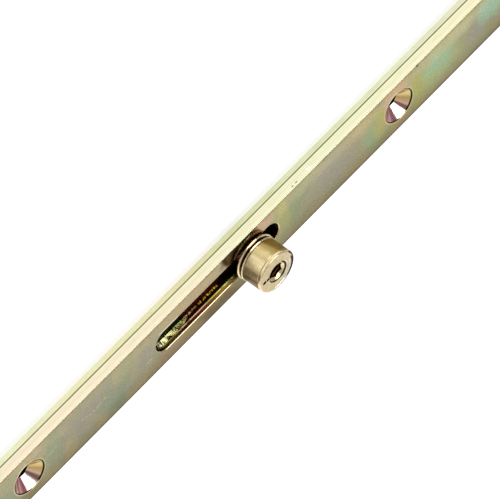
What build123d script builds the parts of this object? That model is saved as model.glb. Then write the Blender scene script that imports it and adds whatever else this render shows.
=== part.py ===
from build123d import *
import math
import os

# One locking point of a multipoint door lock: a faceplate, the drive rod that slides behind it,
# and an adjustable roller cam that the rod carries through a slot in the plate.
# Millimetres. The origin is the middle of the screw-hole line on the plate's back, which seats in
# the door. +X runs along the plate, +Z points out of its front face.

# Faceplate
plate_length = 330.0
plate_width = 16.0
plate_thickness = 2.8
plate_corner_radius = 1.0
plate_edge_radius = 0.15

# Countersunk screw holes, one each side of the slot
screw_pitch = 128.0
screw_hole_diameter = 4.2
screw_head_diameter = 9.6
screw_head_angle = 90.0
screw_head_edge_radius = 0.4

# Slot that the cam's neck travels in, with the rounded front edge that the punch draws in
cam_slot_length = 42.4
cam_slot_width = 7.0
cam_slot_edge_radius = 0.3

# Drive rod behind the plate
rod_end_margin = 3.6
rod_width = 15.0
rod_thickness = 1.8
rod_edge_radius = 0.25
rod_gap = 0.1
rod_web = 5.6
screw_slot_width = 5.0
slot_end_play = 0.5
link_hole_diameter = 5.0

# Guide studs and their bushes, which hold the rod to the plate
stud_shank_diameter = 3.6
stud_peen_diameter = 5.4
stud_head_diameter = 9.0
stud_head_thickness = 1.0
bush_wall = 0.7
bush_flange_thickness = 0.5
bush_running_clearance = 0.1
fixed_fit_clearance = 0.01

# Cam pin: the tail and the neck turn on the pivot axis, the journal and the head are off-centre
cam_rest_x = 11.7
neck_side_clearance = 0.1
neck_end_clearance = 0.15
tail_diameter = 6.0
tail_running_clearance = 0.05
tail_peen_diameter = 8.4
tail_peen_thickness = 0.6
tail_peen_chamfer = 0.2
cam_eccentricity = 0.9
cam_eccentric_angle = -75.0
foot_clearance = 0.4
journal_diameter = 8.8
head_thickness = 0.85
head_edge_radius = 0.4

# Hex socket and index mark in the head
hex_across_flats = 4.0
hex_depth = 3.0
socket_mouth_diameter = 5.6
socket_mouth_angle = 90.0
index_angle = 171.0
hex_corner_angle = 21.0
index_notch_reach = 3.6
index_notch_width = 0.5
index_notch_depth = 0.35
index_dot_radius = 4.35
index_dot_diameter = 0.9

# Collar, ring and roller on the journal
collar_flange_diameter = 12.2
collar_flange_thickness = 0.55
collar_hub_diameter = 10.4
collar_hub_height = 0.75
ring_diameter = 11.9
ring_thickness = 0.5
roller_diameter = 11.6
roller_height = 4.6
roller_side_clearance = 0.05
journal_running_clearance = 0.08
turned_edge_radius = 0.12

# Disc spring behind the rod
spring_diameter = 10.0
spring_thickness = 0.4
spring_height = 0.6
spring_gap = 0.02

# Levels that follow from the sizes above
plate_front = plate_thickness
rod_front = -rod_gap
rod_back = rod_front - rod_thickness
bush_flange_front = rod_back - bush_running_clearance
bush_flange_back = bush_flange_front - bush_flange_thickness
stud_head_back = bush_flange_back - stud_head_thickness
foot_level = plate_front + foot_clearance
collar_top = foot_level + collar_flange_thickness + collar_hub_height
ring_top = collar_top + ring_thickness
roller_bottom = ring_top + roller_side_clearance
roller_top = roller_bottom + roller_height
head_bottom = roller_top + roller_side_clearance
head_top = head_bottom + head_thickness
peen_front = rod_back - spring_height - 2 * spring_gap
peen_back = peen_front - tail_peen_thickness

# Travel of the cam, and the slots in the rod that leave room for it
neck_diameter = cam_slot_width - 2 * neck_side_clearance
cam_travel = cam_slot_length - neck_diameter - 2 * neck_end_clearance
bush_diameter = stud_shank_diameter + 2 * bush_wall
guide_slot_width = bush_diameter + 2 * bush_running_clearance
guide_slot_length = guide_slot_width + cam_travel + 2 * slot_end_play
screw_slot_length = screw_slot_width + cam_travel + 2 * slot_end_play
stud_pitch = screw_pitch + screw_slot_length + guide_slot_length + 2 * rod_web
link_hole_offset = (stud_pitch + guide_slot_length + link_hole_diameter) / 2 + rod_web
rod_length = 2 * link_hole_offset + link_hole_diameter + 2 * rod_end_margin

# Places along the plate and the rod. At mid travel the rod is centred behind the plate.
sides = (-1, 1)
screw_places = [(side * screw_pitch / 2, 0) for side in sides]
stud_places = [(side * stud_pitch / 2, 0) for side in sides]
screw_slot_places = [(cam_rest_x + x, y) for x, y in screw_places]
guide_slot_places = [(cam_rest_x + x, y) for x, y in stud_places]
link_hole_places = [(cam_rest_x + side * link_hole_offset, 0) for side in sides]

# The two axes of the cam: its pivot in the rod, and the journal that the roller turns on
cam_angle = math.radians(cam_eccentric_angle)
journal_x = cam_rest_x + cam_eccentricity * math.cos(cam_angle)
journal_y = cam_eccentricity * math.sin(cam_angle)
pivot_plane = Plane((cam_rest_x, 0, 0))
journal_plane = Plane((journal_x, journal_y, 0))
pivot_axis = Axis((cam_rest_x, 0, 0), (0, 0, 1))
journal_axis = Axis((journal_x, journal_y, 0), (0, 0, 1))


def section_plane(x, y):
    """A plane through a vertical axis at (x, y): local x is the radius, local y is the height."""
    return Plane(origin=(x, y, 0), x_dir=(1, 0, 0), z_dir=(0, -1, 0))


os.makedirs("parts", exist_ok=True)

# Faceplate: a flat strip with its edges broken, the cam slot, the screw holes and the stud holes
with BuildPart() as faceplate:
    with BuildSketch(Plane.XY):
        Rectangle(plate_length, plate_width)
    extrude(amount=plate_thickness)
    fillet(faceplate.edges().filter_by(Axis.Z), radius=plate_corner_radius)
    fillet(faceplate.faces().sort_by(Axis.Z)[-1].edges(), radius=plate_edge_radius)
    fillet(faceplate.faces().sort_by(Axis.Z)[0].edges(), radius=plate_edge_radius)
    with BuildSketch(Plane.XY):
        SlotOverall(cam_slot_length, cam_slot_width)
    extrude(amount=plate_thickness, mode=Mode.SUBTRACT)
    slot_rim = faceplate.faces().sort_by(Axis.Z)[-1].inner_wires()[0]
    fillet(slot_rim.edges(), radius=cam_slot_edge_radius)
    with Locations(*[(x, y, plate_front) for x, y in screw_places]):
        CounterSinkHole(
            radius=screw_hole_diameter / 2,
            counter_sink_radius=screw_head_diameter / 2,
            counter_sink_angle=screw_head_angle,
        )
    screw_rims = faceplate.edges().filter_by(
        lambda edge: edge.geom_type == GeomType.CIRCLE and math.isclose(edge.radius, screw_head_diameter / 2)
    )
    fillet(screw_rims, radius=screw_head_edge_radius)
    with Locations(*[(x, y, plate_front) for x, y in stud_places]):
        CounterSinkHole(
            radius=stud_shank_diameter / 2 + fixed_fit_clearance,
            counter_sink_radius=stud_peen_diameter / 2 + fixed_fit_clearance,
            counter_sink_angle=screw_head_angle,
        )
faceplate.part.label = "faceplate"
export_step(faceplate.part, "parts/faceplate.step")

# Drive rod: carries the cam in a round hole, and is slotted over the screws and the guide studs
with BuildPart() as drive_rod:
    with BuildSketch(Plane.XY.offset(rod_back)):
        with Locations((cam_rest_x, 0)):
            Rectangle(rod_length, rod_width)
    extrude(amount=rod_thickness)
    fillet(drive_rod.edges().filter_by(Axis.Z), radius=plate_corner_radius)
    fillet(drive_rod.faces().sort_by(Axis.Z)[-1].edges(), radius=rod_edge_radius)
    fillet(drive_rod.faces().sort_by(Axis.Z)[0].edges(), radius=rod_edge_radius)
    with BuildSketch(Plane.XY.offset(rod_back)):
        with Locations(*screw_slot_places):
            SlotOverall(screw_slot_length, screw_slot_width)
        with Locations(*guide_slot_places):
            SlotOverall(guide_slot_length, guide_slot_width)
        with Locations(*link_hole_places):
            Circle(link_hole_diameter / 2)
        with Locations((cam_rest_x, 0)):
            Circle(tail_diameter / 2 + tail_running_clearance)
    extrude(amount=rod_thickness, mode=Mode.SUBTRACT)
drive_rod.part.label = "drive_rod"
export_step(drive_rod.part, "parts/drive_rod.step")

# Guide studs: headed behind the rod, peened flush into countersinks in the plate's front face
with BuildPart() as guide_studs:
    for x, y in stud_places:
        with BuildSketch(section_plane(x, y)):
            with BuildLine():
                peen_depth = (stud_peen_diameter - stud_shank_diameter) / 2
                Polyline(
                    (0, stud_head_back),
                    (stud_head_diameter / 2, stud_head_back),
                    (stud_head_diameter / 2, bush_flange_back),
                    (stud_shank_diameter / 2, bush_flange_back),
                    (stud_shank_diameter / 2, plate_front - peen_depth),
                    (stud_peen_diameter / 2, plate_front),
                    (0, plate_front),
                    close=True,
                )
            make_face()
        revolve(axis=Axis((x, y, 0), (0, 0, 1)))
guide_studs.part.label = "guide_studs"
export_step(guide_studs.part, "parts/guide_studs.step")

# Guide bushes: a sleeve that fills the rod's slot, and a flange between the rod and the stud's head
with BuildPart() as guide_bushes:
    bore_radius = stud_shank_diameter / 2 + fixed_fit_clearance
    for x, y in stud_places:
        with BuildSketch(section_plane(x, y)):
            with BuildLine():
                Polyline(
                    (bore_radius, bush_flange_back),
                    (stud_head_diameter / 2, bush_flange_back),
                    (stud_head_diameter / 2, bush_flange_front),
                    (bush_diameter / 2, bush_flange_front),
                    (bush_diameter / 2, 0),
                    (bore_radius, 0),
                    close=True,
                )
            make_face()
        revolve(axis=Axis((x, y, 0), (0, 0, 1)))
guide_bushes.part.label = "guide_bushes"
export_step(guide_bushes.part, "parts/guide_bushes.step")

# Cam pin: peened tail, neck in the plate's slot, off-centre journal, head with hex socket and index
with BuildPart() as cam_pin:
    with BuildSketch(pivot_plane.offset(peen_back)):
        Circle(tail_peen_diameter / 2)
    extrude(amount=tail_peen_thickness)
    chamfer(cam_pin.edges().sort_by(Axis.Z)[0], length=tail_peen_chamfer)
    with BuildSketch(pivot_plane.offset(peen_front)):
        Circle(tail_diameter / 2)
    extrude(amount=rod_front - peen_front)
    with BuildSketch(pivot_plane.offset(rod_front)):
        Circle(neck_diameter / 2)
    extrude(amount=foot_level - rod_front)
    with BuildSketch(journal_plane.offset(foot_level)):
        Circle(journal_diameter / 2)
    extrude(amount=head_bottom - foot_level)
    with BuildSketch(journal_plane.offset(head_bottom)):
        Circle(roller_diameter / 2)
    extrude(amount=head_thickness)
    fillet(cam_pin.edges().sort_by(Axis.Z)[-1], radius=head_edge_radius)
    with BuildSketch(journal_plane.offset(head_top)):
        RegularPolygon(hex_across_flats / 2, 6, major_radius=False, rotation=hex_corner_angle)
    extrude(amount=-hex_depth, mode=Mode.SUBTRACT)
    with BuildSketch(section_plane(journal_x, journal_y)):
        with BuildLine():
            mouth_depth = socket_mouth_diameter / 2 / math.tan(math.radians(socket_mouth_angle / 2))
            Polyline(
                (0, head_top - mouth_depth),
                (socket_mouth_diameter / 2, head_top),
                (0, head_top),
                close=True,
            )
        make_face()
    revolve(axis=journal_axis, mode=Mode.SUBTRACT)
    with BuildSketch(journal_plane.offset(head_top)):
        with PolarLocations(index_notch_reach / 2, 1, start_angle=index_angle):
            Rectangle(index_notch_reach, index_notch_width)
        with PolarLocations(index_dot_radius, 1, start_angle=index_angle):
            Circle(index_dot_diameter / 2)
    extrude(amount=-index_notch_depth, mode=Mode.SUBTRACT)
cam_pin.part.label = "cam_pin"
export_step(cam_pin.part, "parts/cam_pin.step")

# Foot collar: pressed on the journal's foot, a flange over the slot's edges and a hub above it
with BuildPart() as foot_collar:
    with BuildSketch(journal_plane.offset(foot_level)):
        Circle(collar_flange_diameter / 2)
    extrude(amount=collar_flange_thickness)
    fillet(foot_collar.edges(), radius=turned_edge_radius)
    with BuildSketch(journal_plane.offset(foot_level + collar_flange_thickness)):
        Circle(collar_hub_diameter / 2)
    extrude(amount=collar_hub_height)
    with BuildSketch(journal_plane.offset(foot_level)):
        Circle(journal_diameter / 2 + fixed_fit_clearance)
    extrude(amount=collar_top - foot_level, mode=Mode.SUBTRACT)
foot_collar.part.label = "foot_collar"
export_step(foot_collar.part, "parts/foot_collar.step")

# Thrust ring: a loose ring between the collar and the roller
with BuildPart() as thrust_ring:
    with BuildSketch(journal_plane.offset(collar_top)):
        Circle(ring_diameter / 2)
    extrude(amount=ring_thickness)
    fillet(thrust_ring.edges(), radius=turned_edge_radius)
    with BuildSketch(journal_plane.offset(collar_top)):
        Circle(journal_diameter / 2 + journal_running_clearance)
    extrude(amount=ring_thickness, mode=Mode.SUBTRACT)
thrust_ring.part.label = "thrust_ring"
export_step(thrust_ring.part, "parts/thrust_ring.step")

# Roller: a turned sleeve that runs on the journal, as wide as the pin's head
with BuildPart() as roller:
    with BuildSketch(journal_plane.offset(roller_bottom)):
        Circle(roller_diameter / 2)
    extrude(amount=roller_height)
    fillet(roller.edges(), radius=turned_edge_radius)
    with BuildSketch(journal_plane.offset(roller_bottom)):
        Circle(journal_diameter / 2 + journal_running_clearance)
    extrude(amount=roller_height, mode=Mode.SUBTRACT)
roller.part.label = "roller"
export_step(roller.part, "parts/roller.step")

# Disc spring: a shallow cone between the rod's back and the peened tail
with BuildPart() as disc_spring:
    with BuildSketch(section_plane(cam_rest_x, 0)):
        with BuildLine():
            inner_radius = tail_diameter / 2 + tail_running_clearance
            outer_top = rod_back - spring_gap
            inner_bottom = outer_top - spring_height
            Polyline(
                (spring_diameter / 2, outer_top),
                (inner_radius, inner_bottom + spring_thickness),
                (inner_radius, inner_bottom),
                (spring_diameter / 2, outer_top - spring_thickness),
                close=True,
            )
        make_face()
    revolve(axis=pivot_axis)
disc_spring.part.label = "disc_spring"
export_step(disc_spring.part, "parts/disc_spring.step")

print("cam travel %.2f, from rest %.2f to %.2f" % (
    cam_travel, -cam_travel / 2 - cam_rest_x, cam_travel / 2 - cam_rest_x))
print("journal axis %.4f %.4f" % (journal_x, journal_y))
print("rod length %.2f, back of studs %.2f, head top %.2f" % (rod_length, stud_head_back, head_top))
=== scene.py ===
# %% [markdown]
# # A locking point of a multipoint door lock
# The part is a long flat steel faceplate, a flat drive rod that slides behind it, and a short
# adjustable roller cam that stands out of a slot. All that shows is zinc plated and yellow
# passivated, so the whole picture is one kind of metal seen under different reflections. The CAD
# solids have the right shapes already, so this lesson is mostly about metal: what it reflects, how
# its thin yellow film varies, and the marks that cutting, punching and turning leave.

# %% Load the frame
import math

import bpy
from mathutils import Matrix, Vector


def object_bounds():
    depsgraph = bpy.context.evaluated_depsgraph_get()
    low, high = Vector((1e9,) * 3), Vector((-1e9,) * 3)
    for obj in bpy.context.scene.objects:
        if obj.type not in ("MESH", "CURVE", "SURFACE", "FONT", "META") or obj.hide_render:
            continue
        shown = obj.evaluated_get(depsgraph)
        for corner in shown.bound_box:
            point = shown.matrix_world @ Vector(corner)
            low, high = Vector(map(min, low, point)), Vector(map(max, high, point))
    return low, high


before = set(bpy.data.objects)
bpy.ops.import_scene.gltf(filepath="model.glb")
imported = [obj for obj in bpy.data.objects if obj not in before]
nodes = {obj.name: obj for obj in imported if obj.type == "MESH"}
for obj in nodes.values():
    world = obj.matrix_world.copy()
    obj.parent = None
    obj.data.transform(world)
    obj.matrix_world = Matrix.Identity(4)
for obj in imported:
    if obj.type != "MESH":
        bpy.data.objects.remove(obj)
cad_box = [list(corner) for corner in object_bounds()]
MM = 0.001
print("CAD box in mm", [[round(v / MM, 2) for v in corner] for corner in cad_box])

# %% [markdown]
# ## Colours and nodes
# Colours are written as sRGB hex, which is how people read them off a photograph. The renderer
# works in linear light, so one function converts them. Material graphs are wired with one small
# function that adds a node with its settings and links its inputs, in order or by name.

# %% Helpers for colours and nodes
def linear(hex_colour):
    """sRGB hex such as "f3eabe" to a linear RGBA colour."""
    channels = [int(hex_colour[i:i + 2], 16) / 255 for i in (0, 2, 4)]
    return [c / 12.92 if c <= 0.04045 else ((c + 0.055) / 1.055) ** 2.4 for c in channels] + [1.0]


def add(tree, kind, settings, *values, stops=(), **named):
    """Adds a node. kind is its class name without "ShaderNode" in front. The inputs are plain
    values, sockets, or nodes whose first output is linked. stops are those of a colour ramp."""
    node = tree.nodes.new("ShaderNode" + kind)
    for name, value in settings.items():
        setattr(node, name, value)
    sockets = [socket for socket in node.inputs if socket.enabled]
    pairs = list(zip(sockets, values))
    for name, value in named.items():
        pairs.append((next(s for s in sockets if s.name == name.replace("_", " ")), value))
    for socket, value in pairs:
        if isinstance(value, bpy.types.Node):
            value = next(s for s in value.outputs if s.enabled)
        if isinstance(value, bpy.types.NodeSocket):
            tree.links.new(value, socket)
        else:
            socket.default_value = value
    for i, (position, hex_colour) in enumerate(stops):
        elements = node.color_ramp.elements
        is_end = i in (0, len(stops) - 1)
        stop = elements[0 if i == 0 else -1] if is_end else elements.new(position)
        stop.position = position
        stop.color = linear(hex_colour)
    return node


def new_material(name):
    """An empty material and its node tree."""
    material = bpy.data.materials.new(name)
    material.use_nodes = True
    material.node_tree.nodes.clear()
    return material, material.node_tree


# settings that come up often: two ways to mix colours, a soft fade, and sums of numbers or vectors
MIX = {"data_type": "RGBA"}
TINT = {"data_type": "RGBA", "blend_type": "MULTIPLY"}
SMOOTH = {"interpolation_type": "SMOOTHSTEP"}
TIMES, PLUS, MINUS = {"operation": "MULTIPLY"}, {"operation": "ADD"}, {"operation": "SUBTRACT"}
TIMES_PLUS, LARGER = {"operation": "MULTIPLY_ADD"}, {"operation": "MAXIMUM"}
ABSOLUTE, LENGTH = {"operation": "ABSOLUTE"}, {"operation": "LENGTH"}
print("helpers ready; the plate's warm cream is", [round(c, 3) for c in linear("f5e7c8")])

# %% [markdown]
# ## Places on the metal, in millimetres
# The film, the stains and the marks of the tools all lie at real places and have real sizes. A
# texture could be unwrapped on to each piece, but every pattern here is a simple function of place,
# so it is placed and sized in millimetres in the piece's own coordinates and stays put when the
# piece moves. Masks are soft edged bands between two sizes.

# %% Places and masks
def surface(tree):
    """The point in mm, its x, y and z, and the x, y and z of the surface's direction."""
    source = add(tree, "TexCoord", {})
    point = add(tree, "VectorMath", {"operation": "SCALE"}, source.outputs["Object"],
                Scale=1 / MM)
    at = add(tree, "SeparateXYZ", {}, point)
    facing = add(tree, "SeparateXYZ", {}, source.outputs["Normal"])
    return point, at.outputs, facing.outputs


def band(tree, value, low, high, soft):
    """A mask that is 1 between low and high and fades over soft on either side. Where nothing
    lies below low, it is open on that side."""
    rise = add(tree, "MapRange", {}, value, low - soft, low, 0.0, 1.0)
    fall = add(tree, "MapRange", {}, value, high, high + soft, 1.0, 0.0)
    return add(tree, "Math", TIMES, rise, fall)


def distance_from_axis(tree, point, x, y):
    """How far the point is from an upright axis at (x, y), and the flat vector from it."""
    offset = add(tree, "VectorMath", MINUS, point, (x, y, 0))
    flat = add(tree, "VectorMath", TIMES, offset, (1, 1, 0))
    length = add(tree, "VectorMath", LENGTH, flat)
    return length, flat


def arc(tree, radius, turn, low, high, first, last, soft=0.08):
    """A mask between two radii in mm and two directions in degrees, which fades over 8 degrees."""
    ring = band(tree, radius, low, high, soft)
    sweep = band(tree, turn, first, last, 8.0)
    return add(tree, "Math", TIMES, ring, sweep)


print("places and masks ready")

# %% [markdown]
# ## Yellow passivated zinc
# Zinc plate dipped in a chromate bath gets a film a fraction of a micrometre thick. It looks like
# a pale gold metal with slow clouds of purple-grey, green and tan, because the film's thickness
# varies over millimetres. The plating itself is slightly mottled, at half a millimetre. A thin film
# in the shader would be closer to the physics, but its colours can't be put in their places, so a
# slow noise picks its way through a row of tints. One function makes the clouds for every piece,
# since they all come out of the same bath.

# %% The passivation film
def film(tree, point, tints, cloud_mm, seed):
    """Slow clouds of colour, cloud_mm across, through the given tints."""
    moved = add(tree, "VectorMath", PLUS, point, (seed, seed * 0.7, seed * 0.3))
    clouds = add(tree, "TexNoise", {}, Vector=moved, Scale=1 / cloud_mm, Detail=2.0,
                 Roughness=0.5, Distortion=0.6)
    # the noise stays mostly between 0.3 and 0.7, so the tints are spread over that
    stops = [(0.30 + 0.40 * i / (len(tints) - 1), tint) for i, tint in enumerate(tints)]
    return add(tree, "ValToRGB", {}, clouds.outputs["Fac"], stops=stops)


def mottled(tree, colour, point, grain_mm, dark, light):
    """The plating's fine mottle: colour times a noise between two greys."""
    grain = add(tree, "TexNoise", {}, Vector=point, Scale=1 / grain_mm, Detail=3.0,
                Roughness=0.65)
    shade = add(tree, "ValToRGB", {}, grain.outputs["Fac"], stops=[(0.3, dark), (0.7, light)])
    return add(tree, "Mix", TINT, 1.0, colour, shade)


def grain_bump(tree, point, stretch, grain_mm, height_mm, under=None):
    """Rolled or brushed grain as a bump on top of the bump under it. stretch below 1 draws the
    grain out along that axis."""
    drawn = add(tree, "VectorMath", TIMES, point, stretch)
    grain = add(tree, "TexNoise", {}, Vector=drawn, Scale=1 / grain_mm, Detail=3.0,
                Roughness=0.6)
    bump = add(tree, "Bump", {}, Strength=1.0, Distance=height_mm * MM,
               Height=grain.outputs["Fac"])
    if under is not None:
        tree.links.new(under.outputs[0], bump.inputs["Normal"])
    return bump


print("film, mottle and grain ready")

# %% [markdown]
# ## The faceplate's front
# Rolled strip. The bath leaves stains: the film is thicker round the punched holes, where the metal
# was cold worked, so gold and pink haloes sit there, and purple-grey and blue-green clouds lie
# between. Noise alone can't put them in their places, so they are listed as soft ovals with
# their places, sizes and tints. Two dark brown ovals beside the slot are a painted reflection that
# deepens the roller's image in the plate. Across the strip a painted shade makes the face lighter
# towards its upper edge and dark along the lower edge. Handling has left a few fine scratches.

# %% Stains on the front face
PLATE_FRONT, HALF_WIDTH = 2.8, 8.0  # how high the front face lies and half its width, in mm
STAINS = [  # x, y, half length and half width in mm, tint, strength
    (-71.0, 0.0, 5.0, 7.0, "c2c8a6", 0.6), (-63.0, 6.8, 6.0, 3.0, "e8d6b0", 0.6),
    (-56.0, 1.0, 5.0, 7.0, "bec8a4", 0.55), (-44.5, 1.5, 9.0, 6.5, "c8bcaa", 0.75),
    (-35.5, -2.5, 6.5, 5.5, "b4c2a6", 0.75), (-31.0, 4.5, 7.0, 4.0, "d2cc9e", 0.6),
    (-25.0, 0.5, 6.0, 5.0, "ccc4b0", 0.6), (-19.5, -6.0, 6.0, 4.0, "d6bc9e", 0.7),
    (-8.0, 5.8, 16.0, 3.2, "e6cca2", 0.85), (-6.0, -6.2, 16.0, 2.6, "c9ae82", 0.7),
    (15.5, 6.0, 5.0, 4.0, "f4d2b0", 0.9), (22.0, 2.0, 4.5, 8.0, "dcd890", 0.75),
    (27.0, -4.0, 6.0, 5.0, "c4c69a", 0.6), (40.0, 0.5, 10.0, 6.5, "cec4b2", 0.8),
    (52.0, 5.5, 6.0, 4.0, "f0e0a6", 0.7), (54.5, -1.5, 4.5, 5.5, "c6dcac", 0.8),
    (64.0, 1.0, 8.0, 9.5, "f4e48e", 0.85), (63.5, 4.5, 5.8, 6.5, "f8d4b2", 0.95),
    (78.0, 0.0, 11.0, 7.0, "e2f0a2", 0.8), (79.0, 1.5, 7.0, 4.5, "caf0c8", 0.75),
    (86.5, 5.5, 5.0, 4.0, "ecd8b0", 0.7), (91.0, -2.5, 4.5, 6.0, "ccc6b2", 0.9),
    (98.0, 2.5, 6.5, 5.0, "ccf2d2", 0.85), (57.3, 0.5, 2.6, 8.0, "e8de86", 0.75),
    (70.6, -1.0, 2.3, 8.5, "e2de84", 0.85), (64.0, -7.0, 4.0, 1.8, "ecc4a4", 0.7),
    (22.5, 5.5, 2.6, 3.4, "eee094", 0.7), (-35.0, -5.0, 3.0, 2.5, "a8b896", 0.5),
    (36.0, 5.5, 14.0, 3.2, "eae2b6", 0.5), (84.0, 5.5, 16.0, 3.2, "eeefba", 0.6),
    (84.0, -5.0, 15.0, 3.5, "dfe2ae", 0.5), (0.0, -5.8, 9.0, 3.2, "9c8658", 0.8),
    # the last two ovals, dark brown beside the slot, are a painted reflection of the roller's dark
    # foot
    (-64.5, -5.5, 5.0, 3.0, "b8aa80", 0.6), (5.8, 5.6, 3.4, 3.2, "54300f", 0.85),
    (5.4, 7.2, 2.4, 1.4, "43301a", 0.7),
]
SCRATCHES = [  # x, y, half length in mm, slope
    (-56.2, 0.9, 1.2, 0.05), (-45.4, 1.1, 1.0, -0.15), (-40.2, 0.7, 1.8, 0.22),
    (-43.0, 0.5, 0.6, 0.0), (-24.3, -1.7, 1.0, 0.10),
]
print(len(STAINS), "stains and", len(SCRATCHES), "scratches on the front face")

# %% Colour and scratches of the front face
def stained_front(tree, point, at):
    """The colour of the front face: slow clouds, the stains on them, and a painted shade across."""
    colour = film(tree, point, ["c0c49a", "cfc79f", "d9ca9f", "c6c0a4", "cbc996"], 9.0, 13.0)
    # a noise of 4.5 mm moves the stains' outlines by up to 3 mm, as a film that ran and dried does
    wobble = add(tree, "TexNoise", {}, Vector=point, Scale=0.22, Detail=2.0)
    shift = add(tree, "VectorMath", TIMES_PLUS, wobble.outputs["Color"], (6, 6, 0), (-3, -3, 0))
    wavy = add(tree, "VectorMath", PLUS, point, shift)
    for x, y, long, wide, tint, strength in STAINS:
        offset = add(tree, "VectorMath", MINUS, wavy, (x, y, PLATE_FRONT))
        scaled = add(tree, "VectorMath", TIMES, offset, (1 / long, 1 / wide, 0))
        reach = add(tree, "VectorMath", LENGTH, scaled)
        mask = add(tree, "MapRange", SMOOTH, reach, 1.15, 0.35, 0.0, strength)
        colour = add(tree, "Mix", MIX, mask, colour, linear(tint))
    # painted shade across the strip: lighter towards the upper edge, dark lines along both edges
    across = add(tree, "MapRange", {}, at["Y"], -HALF_WIDTH, HALF_WIDTH, 0.0, 1.0)
    shade = add(tree, "ValToRGB", {}, across, stops=[
        (0.0, "1c140c"), (0.016, "4c3e2a"), (0.034, "b4a88c"), (0.06, "ccc4b0"),
        (0.35, "e6e8e4"), (0.6, "f0f2ee"), (0.86, "ffffff"), (0.965, "fff8e4"), (1.0, "8c8458")])
    return add(tree, "Mix", TINT, 1.0, colour, shade)


def scratch_mask(tree, point):
    """Thin pale scratches, drawn 0.25 mm wide so that they show."""
    total = None
    for x, y, long, slope in SCRATCHES:
        offset = add(tree, "VectorMath", MINUS, point, (x, y, PLATE_FRONT))
        parts = add(tree, "SeparateXYZ", {}, offset)
        across = add(tree, "Math", TIMES_PLUS, parts.outputs["X"], -slope, parts.outputs["Y"])
        thin = band(tree, across, -0.08, 0.08, 0.15)
        short = band(tree, parts.outputs["X"], -long, long, 0.4)
        mark = add(tree, "Math", TIMES, thin, short)
        total = mark if total is None else add(tree, "Math", LARGER, total, mark)
    worn = add(tree, "TexNoise", {}, Vector=point, Scale=1 / 0.9, Detail=1.0)
    broken = add(tree, "MapRange", {}, worn.outputs["Fac"], 0.42, 0.58, 0.0, 0.55)
    return add(tree, "Math", TIMES, total, broken)


print("front face ready")

# %% [markdown]
# ## The slot's wall
# A punch leaves three zones on the wall of a slot. Next to the front the metal is drawn in and
# burnished smooth; it mirrors the dark rod, and its dark tints are a painted reflection of it. Then
# comes a small ledge, whose one bright line is a painted highlight, with painted shade below it.
# Below that the metal has torn: rough and mottled, pale green far from the roller, sparkling gold
# nearer to it, and painted shade by the roller and beyond. The zones are fractions of a millimetre
# high, too small to model, so they are masks by height on the solid's plain wall, and a bump leans
# the wall.

# %% Slot wall
LEDGE = (1.50, 1.80)  # the heights between which the ledge lies, in mm above the plate's back
SLOT_SHOWN = (-22.0, 10.0)  # the stretch of the slot that shows beside the roller, in mm along x


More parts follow.
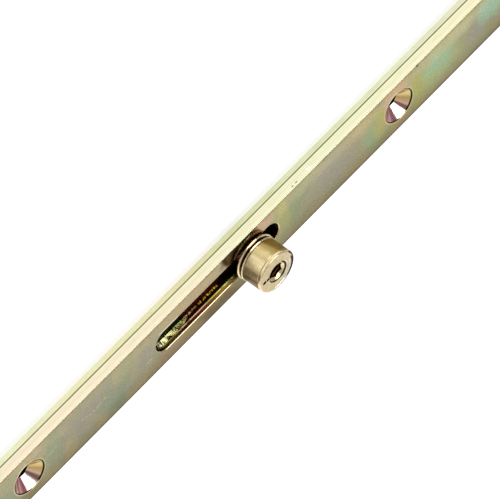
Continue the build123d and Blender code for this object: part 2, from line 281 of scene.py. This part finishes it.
def slot_wall(tree, point, at, facing):
    """Masks of the slot's wall and its rounded front edge, and the wall's colour and bump in mm."""
    off_line = add(tree, "Math", ABSOLUTE, at["Y"])
    off_middle = add(tree, "Math", ABSOLUTE, at["X"])
    inside = add(tree, "Math", TIMES,
                 band(tree, off_line, -1.0, 3.9, 0.05), band(tree, off_middle, -1.0, 21.6, 0.05))
    tilted = add(tree, "MapRange", {}, facing["Z"], 0.97, 0.90, 0.0, 1.0)
    rim = add(tree, "Math", TIMES, inside, tilted)
    wall = add(tree, "Math", TIMES, rim, band(tree, at["Z"], -1.0, 2.48, 0.04))
    along = add(tree, "MapRange", {}, at["X"], *SLOT_SHOWN, 0.0, 1.0)
    # torn metal: pale green at the far end, then tan, then gold ribs, then painted shade by the
    # roller
    torn = add(tree, "ValToRGB", {}, along, stops=[
        (0.00, "c4b49c"), (0.06, "f0e8bc"), (0.16, "e4e2a4"), (0.26, "a0a062"),
        (0.36, "7a7a42"), (0.44, "8c6440"), (0.53, "b07c3c"), (0.62, "c8942c"),
        (0.72, "c08c24"), (0.75, "0a0603"), (1.00, "050302")])
    drawn = add(tree, "VectorMath", TIMES, point, (1.0, 1.0, 0.45))
    specks = add(tree, "TexNoise", {}, Vector=drawn, Scale=1 / 0.75, Detail=3.0, Roughness=0.6,
                 Distortion=0.8)
    gaps = add(tree, "ValToRGB", {}, specks.outputs["Fac"], stops=[
        (0.42, "0c0c08"), (0.49, "8c8c80"), (0.58, "ffffff")])
    torn = add(tree, "Mix", TINT, 1.0, torn, gaps)
    # it reaches up to the ledge at the far end and is a low strip next to the roller
    reach = add(tree, "MapRange", SMOOTH, at["X"], -12.0, -7.5, 1.45, 0.55)
    depth = add(tree, "Math", MINUS, reach, at["Z"])
    is_torn = add(tree, "MapRange", {}, depth, -0.05, 0.05, 0.0, 1.0)
    # burnished metal above it, a painted reflection of the dark rod, with the ledge between the two
    burnished_painted_reflection = add(tree, "ValToRGB", {}, along, stops=[
        (0.00, "060403"), (0.08, "1c160a"), (0.25, "2a200e"), (0.33, "0a0604"),
        (0.44, "2c140c"), (0.56, "44241a"), (0.64, "4c3a16"), (0.75, "6c5a24"),
        (0.88, "78682e"), (0.94, "0c0804")])
    above = add(tree, "MapRange", {}, at["Z"], LEDGE[1], LEDGE[1] + 0.08, 0.0, 1.0)
    # between the torn metal and the ledge lies a band of painted shade, nearly black
    smooth = add(tree, "Mix", MIX, above, linear("070503"), burnished_painted_reflection)
    colour = add(tree, "Mix", MIX, is_torn, smooth, torn)
    # the ledge's bright line is a painted highlight
    ledge_painted_highlight = add(tree, "ValToRGB", {}, along, stops=[
        (0.00, "302814"), (0.10, "6c6238"), (0.22, "5a4a28"), (0.32, "9c705c"),
        (0.50, "a0745c"), (0.60, "8c7440"), (0.70, "9c9044"), (0.78, "b8b45c"),
        (0.88, "bcb864"), (0.92, "0a0604")])
    on_ledge = band(tree, at["Z"], *LEDGE, 0.04)
    worn = add(tree, "TexNoise", {}, Vector=point, Scale=1 / 1.4, Detail=2.0)
    kept = add(tree, "MapRange", {}, worn.outputs["Fac"], 0.36, 0.46, 0.35, 1.0)
    on_ledge = add(tree, "Math", TIMES, on_ledge, kept)
    colour = add(tree, "Mix", MIX, on_ledge, colour, ledge_painted_highlight)
    # the whole wall is drawn leaning back, as the die pulled it, so that it faces the light
    rough = add(tree, "TexNoise", {}, Vector=drawn, Scale=1 / 0.8, Detail=3.0, Roughness=0.7)
    uneven = add(tree, "Math", TIMES, rough.outputs["Fac"], is_torn)
    slope, roughness_mm = -0.85, 0.3
    lean = add(tree, "Math", TIMES, at["Z"], slope)
    height = add(tree, "Math", TIMES_PLUS, uneven, roughness_mm, lean)
    height = add(tree, "Math", TIMES, height, wall)
    return wall, rim, colour, height


print("slot wall ready")

# %% [markdown]
# ## The countersinks
# The cone mirrors the room in sectors like a fan, and these are painted into its colour as a
# painted reflection: mauve and pink on one side, a white painted highlight, ochre and gold on the
# other. The cone itself is in the solid, and a colour ramp over the direction round the hole's axis
# makes the sectors. Arcs of dark painted shade mark the rounded rim, with pale painted highlights
# outside it.

# %% Countersinks
SCREW_X = 64.0  # the two holes lie this far from the middle, and each cone is 4.8 mm in radius


def countersink(tree, point, x):
    """Mask and colour of the countersink at x, whose sectors are a painted reflection, and the
    masks
    of its rims: the dark ones painted shade, the pale ones painted highlights.
    """
    radius, flat = distance_from_axis(tree, point, x, 0.0)
    parts = add(tree, "SeparateXYZ", {}, flat)
    angle = add(tree, "Math", {"operation": "ARCTAN2"}, parts.outputs["Y"], parts.outputs["X"])
    turn = add(tree, "MapRange", {}, angle, -math.pi, math.pi, 0.0, 1.0)
    # the sectors are a painted reflection of the room, the white one a painted highlight
    painted_reflection_fan = add(tree, "ValToRGB", {}, turn, stops=[
        (0.0, "7a4030"), (0.05, "ffd0c4"), (0.09, "c47480"), (0.12, "ffd4cc"), (0.155, "d48490"),
        (0.19, "e09cac"), (0.215, "ffffff"), (0.295, "ffffff"), (0.308, "f0c8d0"),
        (0.32, "a07880"), (0.35, "a88458"), (0.37, "ffe0d4"), (0.39, "ecc898"), (0.43, "c8a870"),
        (0.56, "ccbc80"), (0.66, "b09058"), (0.72, "6a4428"), (0.80, "c8b488"), (1.0, "7a4030")])
    degrees = add(tree, "Math", {"operation": "DEGREES"}, angle)
    mask = band(tree, radius, -1.0, 4.72, 0.05)
    # dark arcs on the rim are painted shade, and the pale ones outside are painted highlights
    dark = add(tree, "Math", LARGER, arc(tree, radius, degrees, 4.56, 4.90, -62.0, 62.0),
               arc(tree, radius, degrees, 4.64, 4.80, -178.0, -95.0))
    thin = add(tree, "Math", TIMES, band(tree, radius, 4.95, 5.10, 0.12), 0.55)
    low_side = arc(tree, radius, degrees, 4.72, 5.15, -92.0, -70.0)
    high_side = arc(tree, radius, degrees, 4.70, 5.35, 90.0, 118.0)
    pale = add(tree, "Math", LARGER, add(tree, "Math", LARGER, thin, low_side), high_side)
    return mask, painted_reflection_fan, dark, pale


print("countersinks ready")

# %% [markdown]
# ## The faceplate's side
# The edge of the strip is rolled bright. It mirrors the white floor almost whole, so its film shows
# as a warm cream that turns greenish in the middle of the plate. It is paler along both its edges,
# and its bottom, where it meets the rod, is painted dark green as painted shade. There are two
# pin-point dents, a pale scuff and a nick. They are too small to change the outline, so they are
# drawn as small ovals.

# %% Dents on the faceplate's side
DENTS = [  # x, y, z, half length and half height in mm, tint
    (28.2, 8.0, 2.15, 0.35, 0.18, "6a6440"), (29.6, 8.0, 2.10, 0.45, 0.16, "6a6440"),
    (33.9, 8.0, 1.75, 0.30, 0.60, "ffffff"), (34.6, 8.0, 1.80, 0.20, 0.40, "ffffff"),
    (71.8, 7.6, 2.80, 0.45, 0.30, "5c5434"),
]


def dented_side(tree, colour, point):
    """Two small dents, a pale scuff and a nick in the upper edge."""
    for x, y, z, long, high, tint in DENTS:
        offset = add(tree, "VectorMath", MINUS, point, (x, y, z))
        scaled = add(tree, "VectorMath", {"operation": "DIVIDE"}, offset, (long, 0.5, high))
        reach = add(tree, "VectorMath", LENGTH, scaled)
        mask = add(tree, "MapRange", {}, reach, 1.2, 0.6, 0.0, 0.85)
        colour = add(tree, "Mix", MIX, mask, colour, linear(tint))
    return colour


print(len(DENTS), "marks on the side")

# %% [markdown]
# ## The whole faceplate
# The strip is one piece of steel, plated after it was cut and punched, so one material covers it.
# Masks by place and by the surface's direction choose between the front, the side, the cones and
# the slot's wall, which keeps the solid as it is.

# %% Faceplate material
PHOTO_SPAN = (-70.0, 100.0)  # the stretch of the bar that the photo shows, in mm along x


def plate_material():
    """Rolled steel under a thin yellow film. To the eye it is a mirror slightly blurred and
    streaked by rolling, tinted pale gold, pink and green; the torn wall of the slot is duller."""
    material, tree = new_material("yellow_passivated_zinc_on_rolled_strip")
    point, at, facing = surface(tree)
    front = stained_front(tree, point, at)
    front = mottled(tree, front, point, 0.45, "dedcd6", "ffffff")
    for x in (-SCREW_X, SCREW_X):
        mask, painted_reflection_fan, dark, pale = countersink(tree, point, x)
        front = add(tree, "Mix", MIX, mask, front, painted_reflection_fan)
        # the cones' rims get painted shade and painted highlights
        front = add(tree, "Mix", MIX, dark, front, linear("1c2014"))
        front = add(tree, "Mix", MIX, pale, front, linear("fff0b8"))
    scratches = scratch_mask(tree, point)
    front = add(tree, "Mix", MIX, scratches, front, linear("f4f2e0"))
    along = add(tree, "MapRange", {}, at["X"], *PHOTO_SPAN, 0.0, 1.0)
    side = add(tree, "ValToRGB", {}, along, stops=[
        (0.0, "f8ecd6"), (0.35, "f7f0d6"), (0.62, "f2f5d6"), (1.0, "f8f3d4")])
    height = add(tree, "Math", {"operation": "DIVIDE"}, at["Z"], PLATE_FRONT)
    # paler along both edges, with a painted shade, dark green, along the bottom where the rod meets
    # it
    edge_tint_and_painted_shade = add(tree, "ValToRGB", {}, height, stops=[
        (0.0, "3c5424"), (0.05, "a4b284"), (0.10, "ffffff"), (0.3, "fbf9f0"),
        (0.55, "f9f6ea"), (0.72, "ffffff"), (0.97, "ffffff"), (1.0, "ffffec")])
    side = add(tree, "Mix", TINT, 1.0, side, edge_tint_and_painted_shade)
    streaks = add(tree, "VectorMath", TIMES, point, (0.12, 1.0, 1.0))
    side = mottled(tree, side, streaks, 0.5, "f6f4ee", "ffffff")
    faces_sideways = add(tree, "Math", ABSOLUTE, facing["Y"])
    off_line = add(tree, "Math", ABSOLUTE, at["Y"])
    sideways = add(tree, "MapRange", {}, faces_sideways, 0.5, 0.8, 0.0, 1.0)
    outermost = add(tree, "MapRange", {}, off_line, HALF_WIDTH - 0.5, HALF_WIDTH - 0.3, 0.0, 1.0)
    is_edge = add(tree, "Math", TIMES, sideways, outermost)
    colour = add(tree, "Mix", MIX, is_edge, front, side)
    colour = dented_side(tree, colour, point)
    # a painted highlight along the slot's edge, near its far end
    painted_rim_highlight = add(tree, "Math", TIMES,
               band(tree, at["Y"], 3.85, 4.15, 0.12), band(tree, at["X"], -19.0, -13.5, 0.8))
    colour = add(tree, "Mix", MIX, painted_rim_highlight, colour, linear("fffad8"))
    wall, rim, wall_colour, wall_height = slot_wall(tree, point, at, facing)
    # the slot's rounded front edge is painted paler: a painted highlight on its rim
    colour = add(tree, "Mix", MIX, rim, colour, linear("ecd0a4"))
    colour = add(tree, "Mix", MIX, wall, colour, wall_colour)
    wall_bump = add(tree, "Bump", {}, Strength=1.0, Distance=MM, Height=wall_height)
    normal = grain_bump(tree, point, (0.3, 1.0, 1.0), 0.3, 0.0015, wall_bump)
    roughness = add(tree, "MapRange", {}, wall, 0.0, 1.0, 0.16, 0.40)
    shader = add(tree, "BsdfPrincipled", {}, Base_Color=colour, Metallic=1.0,
                 Roughness=roughness, Normal=normal)
    add(tree, "OutputMaterial", {}, Surface=shader)
    return material


nodes["faceplate"].data.materials[0] = plate_material()
print("faceplate:", nodes["faceplate"].data.materials[0].name)

# %% [markdown]
# ## The drive rod
# The same strip steel, sheared to width, with a paler green film on its side, darker along the
# rounded edge next to the plate as painted shade. Its front face slides under the plate and lies in
# shade where it shows, so it is painted nearly black as painted shade, brown round the roller. Only
# a strip of it shows, through the slot. This painted shade is a change of colour and gloss by
# place, with no thickness of its own.

# %% Drive rod material
def rod_material():
    """Sheared strip steel under the same film. To the eye its edge is a soft pale green sheen, and
    its front, painted nearly black as painted shade, is dark and dull."""
    material, tree = new_material("yellow_passivated_zinc_on_sheared_strip")
    point, at, facing = surface(tree)
    clean = film(tree, point, ["eeeecc", "f2f2d0", "ecf2ce"], 16.0, 23.0)
    streaks = add(tree, "VectorMath", TIMES, point, (0.12, 1.0, 1.0))
    clean = mottled(tree, clean, streaks, 0.5, "f2eee4", "ffffff")
    along = add(tree, "MapRange", {}, at["X"], *PHOTO_SPAN, 0.0, 1.0)
    worn = add(tree, "ValToRGB", {}, along, stops=[
        (0.0, "ffffff"), (0.3, "fbf5e8"), (0.44, "eceada"), (0.56, "eef1ea"), (0.75, "f4fbf8"),
        (1.0, "f6f4fc")])
    clean = add(tree, "Mix", TINT, 1.0, clean, worn)
    # the rounded edge next to the plate, which ends 0.35 mm below the plate's back, is darker:
    # painted shade
    painted_gap_shade = add(tree, "MapRange", {}, at["Z"], -0.46, -0.32, 0.0, 1.0)
    clean = add(tree, "Mix", MIX, painted_gap_shade, clean, linear("4a6034"))
    # painted shade: brown round the roller and black beyond, on the front and on the slots' walls
    brown_shade = film(tree, point, ["2c0c04", "641e0a", "4a1408", "220a04"], 4.0, 2.0)
    away = add(tree, "MapRange", {}, at["X"], -8.0, -11.0, 0.0, 1.0)
    beyond = add(tree, "MapRange", {}, at["X"], 24.0, 28.0, 0.0, 1.0)
    away = add(tree, "Math", LARGER, away, beyond)
    painted_shade_colour = add(tree, "Mix", MIX, away, brown_shade, linear("060403"))
    front = add(tree, "MapRange", {}, facing["Z"], 0.6, 0.9, 0.0, 1.0)
    across = add(tree, "Math", ABSOLUTE, at["Y"])
    slots = add(tree, "MapRange", {}, across, 3.0, 2.8, 0.0, 1.0)
    walls = add(tree, "MapRange", {}, facing["Z"], -0.9, -0.6, 0.0, 1.0)
    slots = add(tree, "Math", TIMES, slots, walls)
    painted_shade_mask = add(tree, "Math", LARGER, front, slots)
    colour = add(tree, "Mix", MIX, painted_shade_mask, clean, painted_shade_colour)
    roughness = add(tree, "MapRange", {}, front, 0.0, 1.0, 0.26, 0.5)
    normal = grain_bump(tree, point, (0.3, 1.0, 1.0), 0.3, 0.002)
    shader = add(tree, "BsdfPrincipled", {}, Base_Color=colour, Metallic=1.0,
                 Roughness=roughness, Normal=normal)
    add(tree, "OutputMaterial", {}, Surface=shader)
    return material


nodes["drive_rod"].data.materials[0] = rod_material()
print("drive rod:", nodes["drive_rod"].data.materials[0].name)

# %% [markdown]
# ## Turned pieces
# The pin, roller, ring, collar and studs are turned on a lathe. The tool leaves rings round the
# axis, finer than the eye resolves, which smear reflections along the axis into long bands. The
# shader's anisotropy does that, with its direction taken round each piece's own axis. A few rings
# are drawn as bumps, 0.12 mm apart, coarser than the real 0.05 mm, so that they show. The film is a
# deeper gold here, with faint streaks where the bath ran off along the axis. A bump leans narrow
# bands of some edges, so that they catch the light. The pin's head, the foot collar and the roller
# get painted shade, painted reflections and painted highlights from functions of their own.

# %% Painted shade and highlights on the pin's head
JOURNAL = (11.933, -0.869)  # the axis of the roller and of the pin's head, in mm


def spot(tree, point, x, y, radius_mm):
    """A round mask of the given radius about (x, y)."""
    radius = distance_from_axis(tree, point, x, y)[0]
    return add(tree, "MapRange", {}, radius, radius_mm + 0.05, radius_mm - 0.05, 0.0, 1.0)


def head_painted_shade_and_highlights(tree, colour, at, radius, turn, point):
    """Painted shade in the socket, along its mouth and in the index mark, painted reflections of
    the room's dark side along the head's edge, and painted highlights beside them.
    """
    # the socket is painted dark brown and black inside: painted shade
    socket = add(tree, "Math", TIMES,
                 band(tree, at["Z"], 7.0, 9.70, 0.03), band(tree, radius, -1.0, 2.5, 0.05))
    inside = add(tree, "Mix", MIX, band(tree, at["Z"], 8.85, 9.20, 0.08),
                 linear("140a05"), linear("6c4018"))
    colour = add(tree, "Mix", MIX, socket, colour, inside)
    face = add(tree, "MapRange", {}, at["Z"], 10.1, 10.15, 0.0, 1.0)
    wobble = add(tree, "TexNoise", {}, Vector=point, Scale=1 / 1.2, Detail=1.0)
    wavy = add(tree, "Math", TIMES_PLUS, wobble.outputs["Fac"], 0.5, -0.25)
    wavy = add(tree, "Math", PLUS, radius, wavy)
    raised = None
    wavering = 0.25  # marks of this softness follow the wavy radius
    # dark arcs are painted shade round the socket and painted reflections of the dark side along
    # the head's edge; white arcs are painted highlights, raised a little by a bump
    marks = [  # radii in mm, directions in degrees, softness in mm, tint, height in mm
        (2.66, 3.10, -70.0, 48.0, 0.08, "0c0a06", 0.0),
        (2.66, 2.86, -165.0, -70.0, 0.08, "14100a", 0.0),
        (4.82, 5.95, -62.0, 6.0, 0.08, "06080a", 0.0),
        (5.36, 5.95, -74.0, 32.0, 0.08, "06080a", 0.0),
        (4.42, 4.44, -66.0, 4.0, wavering, "ffffff", 0.20),
        (4.95, 5.10, -108.0, -64.0, wavering, "ffffff", 0.20),
        (5.48, 5.95, -114.0, -74.0, 0.08, "54493a", 0.0),
        (3.42, 3.44, -40.0, 30.0, 0.20, "fff4e0", 0.08),
    ]
    for low, high, first, last, soft, tint, ridge in marks:
        way_out = wavy if soft == wavering else radius
        mask = arc(tree, way_out, turn, low, high, first, last, soft)
        mask = add(tree, "Math", TIMES, face, mask)
        colour = add(tree, "Mix", MIX, mask, colour, linear(tint))
        if ridge:
            lift = add(tree, "Math", TIMES, mask, ridge)
            raised = lift if raised is None else add(tree, "Math", PLUS, raised, lift)
    # the index mark: a notch from the socket's mouth and a drilled dot, both painted dark as
    # painted shade, and a painted glint on the dot's far wall
    notch = add(tree, "Math", TIMES,
                band(tree, radius, 2.3, 3.6, 0.05), band(tree, at["Y"], -0.68, 0.10, 0.06))
    towards = add(tree, "MapRange", {}, at["X"], 9.8, 9.6, 0.0, 1.0)
    notch = add(tree, "Math", TIMES, notch, towards)
    colour = add(tree, "Mix", MIX, notch, colour, linear("0c0804"))
    dot_radius, dot_direction = 4.35, math.radians(171)
    dot_x = JOURNAL[0] + dot_radius * math.cos(dot_direction)
    dot_y = JOURNAL[1] + dot_radius * math.sin(dot_direction)
    dot = spot(tree, point, dot_x, dot_y - 0.05, 0.58)
    colour = add(tree, "Mix", MIX, dot, colour, linear("0c0804"))
    painted_glint = spot(tree, point, dot_x - 0.1, dot_y + 0.42, 0.30)
    colour = add(tree, "Mix", MIX, painted_glint, colour, linear("ffffff"))
    return colour, raised


print("head marks ready")

# %% Painted shade on the foot collar and painted reflections on the roller
def foot_painted_shade(tree, colour, at, radius, turn, point):
    """Painted shade: the groove below the ring, the flange's top, its underside and the foot of its
    edge are painted dark, which also darkens their image in the plate; the flange's top falls
    outwards.
    """
    # painted shade in the groove, on the flange's top and under the foot
    groove = add(tree, "Math", TIMES,
                 band(tree, at["Z"], 3.78, 4.60, 0.02), band(tree, radius, -1.0, 5.25, 0.03))
    colour = add(tree, "Mix", MIX, groove, colour, linear("0c0805"))
    inner = add(tree, "Math", TIMES,
                band(tree, at["Z"], 3.70, 3.80, 0.02), band(tree, radius, -1.0, 5.75, 0.06))
    colour = add(tree, "Mix", MIX, inner, colour, linear("3c2c14"))
    colour = add(tree, "Mix", MIX, band(tree, at["Z"], 3.0, 3.34, 0.05), colour, linear("8c5424"))
    colour = add(tree, "Mix", MIX, band(tree, at["Z"], 0.0, 3.21, 0.01), colour, linear("0c0805"))
    fall = -1.2  # the flange's top falls away outwards at this slope
    return colour, add(tree, "Math", TIMES, radius, fall)


def roller_painted_reflections(tree, colour, at, radius, turn, point):
    """Painted reflections: bands along the roller's axis that run from olive through cream to brown
    round it.
    """
    waver = 16.0  # degrees by which the noise moves the bands
    warp = add(tree, "TexNoise", {}, Vector=point, Scale=1 / 2.5, Detail=2.0)
    shifted = add(tree, "Math", TIMES_PLUS, warp.outputs["Fac"], waver, turn)
    share = add(tree, "MapRange", {}, shifted, -180.0, 180.0, 0.0, 1.0)
    # the bands are painted reflections of the room, fixed to the roller
    bands = add(tree, "ValToRGB", {}, share, stops=[
        (0.00, "786852"), (0.05, "5c492c"), (0.20, "b89c68"), (0.40, "e0c890"), (0.54, "8c784a"),
        (0.59, "756436"), (0.655, "d9be80"), (0.70, "b0a070"), (0.75, "c2b898"), (0.775, "eee8d5"),
        (0.81, "dad7cc"), (0.84, "ffffff"), (0.95, "ffffff"), (0.99, "826f58"), (1.00, "786852")])
    return add(tree, "Mix", TINT, 1.0, colour, bands), None


print("collar and roller marks ready")

# %% Turned metal
def turned_material(name, tints, roughness, axis, anisotropy=0.6, leans=(), marks=None, pitch=None):
    """Turned steel under a deep gold film. To the eye its highlights are long bands along the axis
    on a side and soft fans on a face. leans are heights in mm between which an edge leans in, with
    its slope. marks adds a piece's own painted shade, reflections and highlights, and ridges. pitch
    is the distance between two like pieces: x is wrapped at it, so both lie on one axis."""
    material, tree = new_material(name)
    point, at, _ = surface(tree)
    placed = point
    if pitch:
        placed = add(tree, "VectorMath", {"operation": "WRAP"}, point,
                     (pitch, pitch, pitch), (0, -pitch, -pitch))
    radius, flat = distance_from_axis(tree, placed, *axis)
    out = add(tree, "SeparateXYZ", {}, flat)
    angle = add(tree, "Math", {"operation": "ARCTAN2"}, out.outputs["Y"], out.outputs["X"])
    turn = add(tree, "Math", {"operation": "DEGREES"}, angle)
    run = add(tree, "VectorMath", TIMES, point, (1.0, 1.0, 0.22))
    colour = film(tree, run, tints, 1.6, 31.0)
    colour = mottled(tree, colour, point, 0.6, "f0ead8", "ffffff")
    raised = None
    if marks:
        colour, raised = marks(tree, colour, at, radius, turn, point)
    tool = add(tree, "Math", PLUS, radius, at["Z"])
    rings = add(tree, "TexNoise", {"noise_dimensions": "1D"}, W=tool, Scale=1 / 0.12, Detail=2.0,
                Roughness=0.6)
    height = add(tree, "Math", TIMES, rings.outputs["Fac"], 0.001)
    for level, top, slope in leans:
        lean = add(tree, "MapRange", {}, at["Z"], level, top, 0.0, -slope * (top - level))
        height = add(tree, "Math", PLUS, lean, height)
    if raised is not None:
        height = add(tree, "Math", PLUS, raised, height)
    bump = add(tree, "Bump", {}, Strength=1.0, Distance=MM, Height=height)
    normal = grain_bump(tree, point, (1.0, 1.0, 1.0), 0.4, 0.0015, bump)
    # the tangent runs round the axis: the axis direction crossed with the way out from the axis
    round_axis = add(tree, "VectorMath", {"operation": "CROSS_PRODUCT"}, (0, 0, 1), flat)
    to_world = {"vector_type": "VECTOR", "convert_from": "OBJECT", "convert_to": "WORLD"}
    tangent = add(tree, "VectorTransform", to_world, round_axis)
    unit = add(tree, "VectorMath", {"operation": "NORMALIZE"}, tangent)
    shader = add(tree, "BsdfPrincipled", {}, Base_Color=colour, Metallic=1.0,
                 Roughness=roughness, Anisotropic=anisotropy, Anisotropic_Rotation=0.25,
                 Normal=normal, Tangent=unit)
    add(tree, "OutputMaterial", {}, Surface=shader)
    return material


print("turned metal ready")

# %% Finishes of the turned pieces
gold = ["fcecc0", "fff4cc", "f8e6b8", "fff2c8", "f4e0b0"]
pale = ["fce8c0", "fff0cc", "f4dcb0", "fcecc8"]
STUD_PITCH = 222.0  # distance between the two studs in mm, which lie evenly about the middle
PLATED = "yellow_passivated_zinc_on_"
finishes = {
    "cam_pin": turned_material(PLATED + "turned_pin", pale, 0.30, JOURNAL, 0.4,
                               [(8.85, 9.20, 2.0)], head_painted_shade_and_highlights),
    "roller": turned_material(PLATED + "turned_roller", gold, 0.33, JOURNAL, 0.65,
                              [(9.45, 9.65, 0.8)], roller_painted_reflections),
    "thrust_ring": turned_material(PLATED + "turned_ring", pale, 0.15, JOURNAL, 0.2,
                                   [(4.62, 5.00, 1.2)]),
    "foot_collar": turned_material(PLATED + "turned_collar", pale, 0.15, JOURNAL, 0.2,
                                   [(3.55, 3.75, 1.2)], foot_painted_shade),
    "guide_studs": turned_material(PLATED + "peened_stud", pale, 0.26, (STUD_PITCH / 2, 0.0), 0.3,
                                   pitch=STUD_PITCH),
}
for node_name, finish in finishes.items():
    nodes[node_name].data.materials[0] = finish
print("turned pieces:", ", ".join(sorted(finishes)))

# %% [markdown]
# ## Spring and bushes
# The disc spring is hardened steel with a thin oiled black oxide. The bushes are moulded black
# nylon, slightly glossy with a fine moulded texture. Both sit behind the plate, so the film and
# grain functions with other tints and sizes are all that they need.

# %% Spring and bush materials
def spring_material():
    """Oiled black oxide: to the eye a dark grey metal with a soft sheen."""
    material, tree = new_material("oiled_black_oxide_spring_steel")
    point = surface(tree)[0]
    colour = film(tree, point, ["3c3d40", "4a4a4a", "333539"], 2.5, 9.0)
    shader = add(tree, "BsdfPrincipled", {}, Base_Color=colour, Metallic=1.0, Roughness=0.32,
                 Normal=grain_bump(tree, point, (1.0, 1.0, 1.0), 0.3, 0.002))
    add(tree, "OutputMaterial", {}, Surface=shader)
    return material


def nylon_material():
    """Moulded nylon: to the eye nearly black, with a weak broad highlight."""
    material, tree = new_material("moulded_black_nylon")
    point = surface(tree)[0]
    colour = film(tree, point, ["141414", "1c1b1a", "181818"], 3.0, 5.0)
    shader = add(tree, "BsdfPrincipled", {}, Base_Color=colour, Roughness=0.45, IOR=1.53,
                 Normal=grain_bump(tree, point, (1.0, 1.0, 1.0), 0.3, 0.004))
    add(tree, "OutputMaterial", {}, Surface=shader)
    return material


nodes["disc_spring"].data.materials[0] = spring_material()
nodes["guide_bushes"].data.materials[0] = nylon_material()
print("spring and bushes dressed")

# %% [markdown]
# ## Floor
# A plain pale floor under the part. Metal shows what is round it, so the floor is half the picture:
# the plate's side mirrors it almost whole. The lamp alone could make it white only with so much
# light that the part's colours would wash out, so to the camera and to reflections it also glows on
# its own, and its grey diffuse part still takes the part's soft shadow.

# %% Floor
def floor_material():
    """Matt white paper: to the eye an even white with a soft shadow on it."""
    material, tree = new_material("white_studio_floor")
    path = add(tree, "LightPath", {})
    seen = add(tree, "Math", LARGER, path.outputs["Is Camera Ray"], path.outputs["Is Glossy Ray"])
    seen = add(tree, "Math", LARGER, seen, path.outputs["Is Transmission Ray"])
    strength = add(tree, "Math", TIMES, seen, 0.79)
    diffuse = add(tree, "BsdfDiffuse", {}, Color=linear("a2a2a2"))
    glow = add(tree, "Emission", {}, Color=linear("ffffff"), Strength=strength)
    both = add(tree, "AddShader", {}, diffuse, glow)
    add(tree, "OutputMaterial", {}, Surface=both)
    return material


floor_level = cad_box[0][2]
half_side = 4.0  # metres, far past what the camera and the reflections reach
corners = [(-half_side, -half_side), (half_side, -half_side), (half_side, half_side),
           (-half_side, half_side)]
floor_mesh = bpy.data.meshes.new("floor")
floor_mesh.from_pydata([(x, y, floor_level) for x, y in corners], [], [(0, 1, 2, 3)])
floor = bpy.data.objects.new("floor", floor_mesh)
bpy.context.scene.collection.objects.link(floor)
floor_mesh.materials.append(floor_material())
print("floor at z = %.2f mm" % (floor_level / MM))

# %% [markdown]
# ## Light
# A plain soft studio: one large soft light above, and a surround that goes from white low behind
# the part, through the light grey that the front face mirrors, to a dark side like an unlit room.
# The roller's own image in the plate turns brown from that dark side. A low pale wall stands all
# round the horizon. Walls could be built as panels, but a surround that depends only on the
# direction in the room is simpler, casts no shadows and is the same from every view.

# %% Studio light and surround
lamp_data = bpy.data.lights.new("soft_top", "AREA")
lamp_data.shape = "RECTANGLE"
lamp_data.size, lamp_data.size_y = 0.9, 0.7  # metres
lamp_data.energy = 7.5  # watts
lamp = bpy.data.objects.new("soft_top", lamp_data)
bpy.context.scene.collection.objects.link(lamp)
lamp.location = Vector((0.30, 0.42, 0.86)).normalized() * 1.2  # 1.2 m from the part
lamp.rotation_mode = "QUATERNION"
lamp.rotation_quaternion = (-lamp.location).to_track_quat("-Z", "Y")

world = bpy.data.worlds.new("studio_surround")
bpy.context.scene.world = world
world.use_nodes = True
tree = world.node_tree
tree.nodes.clear()
direction = add(tree, "TexCoord", {}).outputs["Generated"]
DARK_SIDE = (0.45, 0.85, 0.25)  # a fixed direction in the room
# how far a direction points to that side, from -1 to 1
darkness = add(tree, "VectorMath", {"operation": "DOT_PRODUCT"}, direction, DARK_SIDE)
share = add(tree, "MapRange", {}, darkness.outputs["Value"], -1.0, 1.0, 0.0, 1.0)
surround = add(tree, "ValToRGB", {}, share, stops=[
    (0.0, "ffffff"), (0.12, "ffffff"), (0.24, "cdcecd"), (0.50, "b0afac"), (0.74, "9a9894"),
    (0.94, "24211f"), (1.0, "24211f")])
upwards = add(tree, "SeparateXYZ", {}, direction).outputs["Z"]
low_wall = add(tree, "MapRange", SMOOTH, upwards, 0.24, 0.10, 0.0, 1.0)
surround = add(tree, "Mix", MIX, low_wall, surround, linear("e7e7e7"))
background = add(tree, "Background", {}, surround, 1.25)
add(tree, "OutputWorld", {}, background)

# %% [markdown]
# ## Camera
# The photograph is a close-up from the plate's upper side, from about a metre away with a long
# lens, with the camera rolled so that the plate runs from the lower left to the upper right. Its
# place, turn and lens come from a fit to the plate's edges, the screw holes and the roller, so they
# are written as numbers.

# %% Camera
right = Vector((0.6671, -0.1341, 0.7328)).normalized()  # the picture's right in the room
up = Vector((0.6703, 0.5373, -0.5118))  # and its up, squared below
back = right.cross(up).normalized()
up = back.cross(right)
camera_data = bpy.data.cameras.new("camera")
camera_data.sensor_width = 36.0
camera_data.lens = 307.7
camera = bpy.data.objects.new("camera", camera_data)
bpy.context.scene.collection.objects.link(camera)
camera.matrix_world = Matrix((
    (right.x, up.x, back.x, -0.3117), (right.y, up.y, back.y, 0.8298),
    (right.z, up.z, back.z, 0.4485), (0, 0, 0, 1)))
camera_data.clip_start, camera_data.clip_end = 0.01, 20.0
bpy.context.scene.camera = camera
bpy.context.scene.view_settings.view_transform = "Standard"
print("camera elevation %.1f degrees" % math.degrees(math.asin(back.z)))
